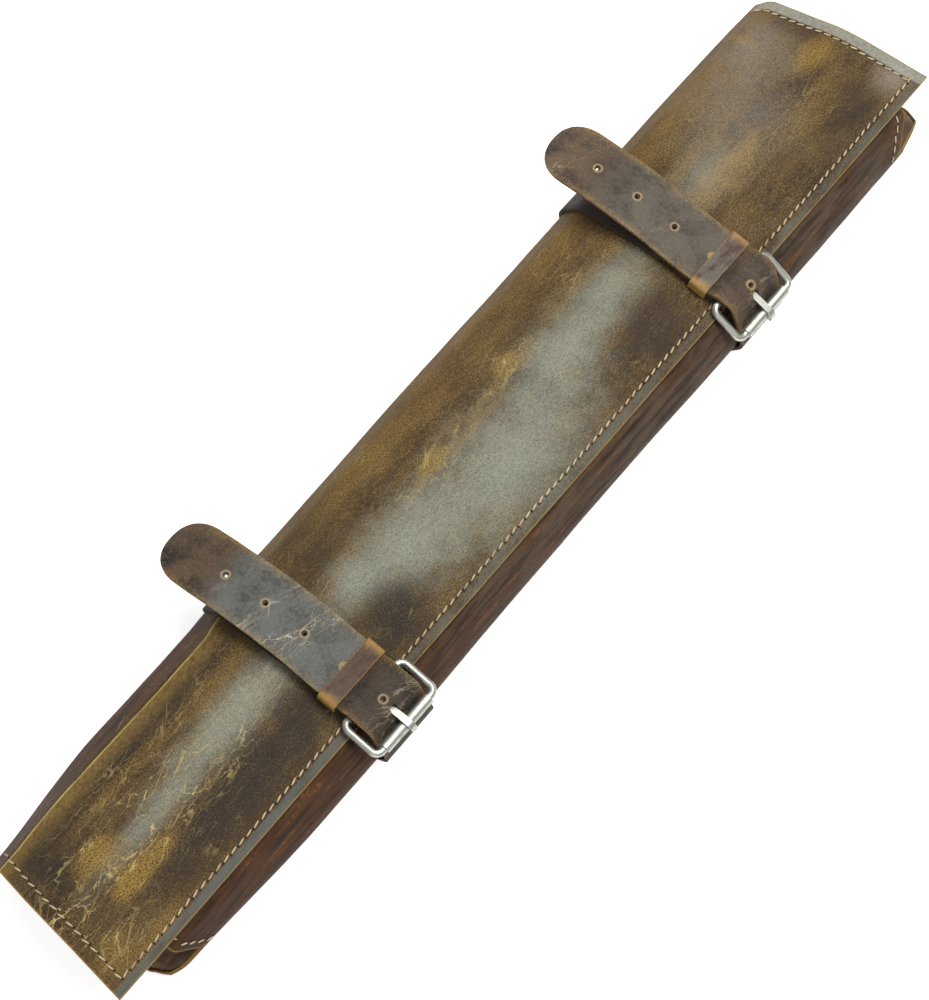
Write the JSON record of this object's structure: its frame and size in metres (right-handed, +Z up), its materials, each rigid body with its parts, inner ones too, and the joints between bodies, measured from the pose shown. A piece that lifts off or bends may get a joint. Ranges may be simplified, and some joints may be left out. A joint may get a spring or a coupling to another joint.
{
  "type": "roll-up cue case",
  "caption": "Rolled leather cue case: stitched cover over a tucked inner panel, lined pockets inside, closed by wide straps with roller buckles and keepers.",
  "frame": {"origin": "middle of the case's bottom, on the surface that it lies on, under the middle of its box, straps included", "axes": "+X along the case, towards the pocket mouths; +Y across it, towards the fold and the free strap tails; +Z up"},
  "size_m": [0.837, 0.2024, 0.0916],
  "materials": {
    "cover_leather": "olive-brown pull-up leather, waxed and worn, with golden rubs and cracks",
    "lining_suede": "brown suede lining",
    "pocket_suede": "brown suede pocket sheet",
    "strap_leather": "dark grey-brown strap leather with rubbed edges",
    "keeper_leather": "brown keeper leather with golden, rubbed corners",
    "thread": "waxed tan thread",
    "nickel": "satin nickel plate on steel wire"
  },
  "bodies": {
    "case": {"outer_shell": "cover_leather", "shell_lining": "lining_suede", "fold_side_shaft_pocket": "pocket_suede", "fold_side_butt_pocket": "pocket_suede", "buckle_side_butt_pocket": "pocket_suede", "buckle_side_shaft_pocket": "pocket_suede", "cover_edge_seam": "thread", "cover_end_seams": "thread", "inner_panel_seams": "thread", "pocket_stitches": "thread", "near_strap": "strap_leather", "near_chape_stitches": "thread", "near_anchor_stitches": "thread", "far_strap": "strap_leather", "far_chape_stitches": "thread", "far_anchor_stitches": "thread"},
    "near_frame": {"near_buckle_frame": "nickel"},
    "near_roller": {"near_buckle_roller": "nickel"},
    "near_prong": {"near_buckle_prong": "nickel"},
    "near_keeper_loop": {"near_keeper": "keeper_leather"},
    "near_tail": {"near_strap_tail": "strap_leather"},
    "far_frame": {"far_buckle_frame": "nickel"},
    "far_roller": {"far_buckle_roller": "nickel"},
    "far_prong": {"far_buckle_prong": "nickel"},
    "far_keeper_loop": {"far_keeper": "keeper_leather"},
    "far_tail": {"far_strap_tail": "strap_leather"}
  },
  "joints": [
    {"name": "near_frame_lift", "type": "hinge", "parent": "case", "child": "near_frame", "pos_m": [-0.177, -0.06538, 0.05938], "axis": [-1, 0, 0], "range_deg": [0, 4]},
    {"name": "near_roller_spin", "type": "hinge", "parent": "near_frame", "child": "near_roller", "pos_m": [-0.177, -0.09375, 0.05335], "axis": [1, 0, 0], "continuous": true},
    {"name": "near_prong_lift", "type": "hinge", "parent": "near_frame", "child": "near_prong", "pos_m": [-0.177, -0.06538, 0.05938], "axis": [-1, 0, 0], "range_deg": [0, 4]},
    {"name": "near_keeper_slide", "type": "slide", "parent": "case", "child": "near_keeper_loop", "axis": [0, 0.994, 0.1093], "range_m": [0, 0.02]},
    {"name": "near_tail_lift", "type": "hinge", "parent": "case", "child": "near_tail", "pos_m": [-0.177, -0.01992, 0.0691], "axis": [1, 0, 0], "range_deg": [0, 60]},
    {"name": "far_frame_lift", "type": "hinge", "parent": "case", "child": "far_frame", "pos_m": [0.203, -0.06787, 0.0591], "axis": [-1, 0, 0], "range_deg": [0, 4]},
    {"name": "far_roller_spin", "type": "hinge", "parent": "far_frame", "child": "far_roller", "pos_m": [0.203, -0.09298, 0.0446], "axis": [1, 0, 0], "continuous": true},
    {"name": "far_prong_lift", "type": "hinge", "parent": "far_frame", "child": "far_prong", "pos_m": [0.203, -0.06787, 0.0591], "axis": [-1, 0, 0], "range_deg": [0, 4]},
    {"name": "far_keeper_slide", "type": "slide", "parent": "case", "child": "far_keeper_loop", "axis": [0, 0.994, 0.1093], "range_m": [0, 0.02]},
    {"name": "far_tail_lift", "type": "hinge", "parent": "case", "child": "far_tail", "pos_m": [0.203, -0.02241, 0.06883], "axis": [1, 0, 0], "range_deg": [-8, 60]}
  ]
}
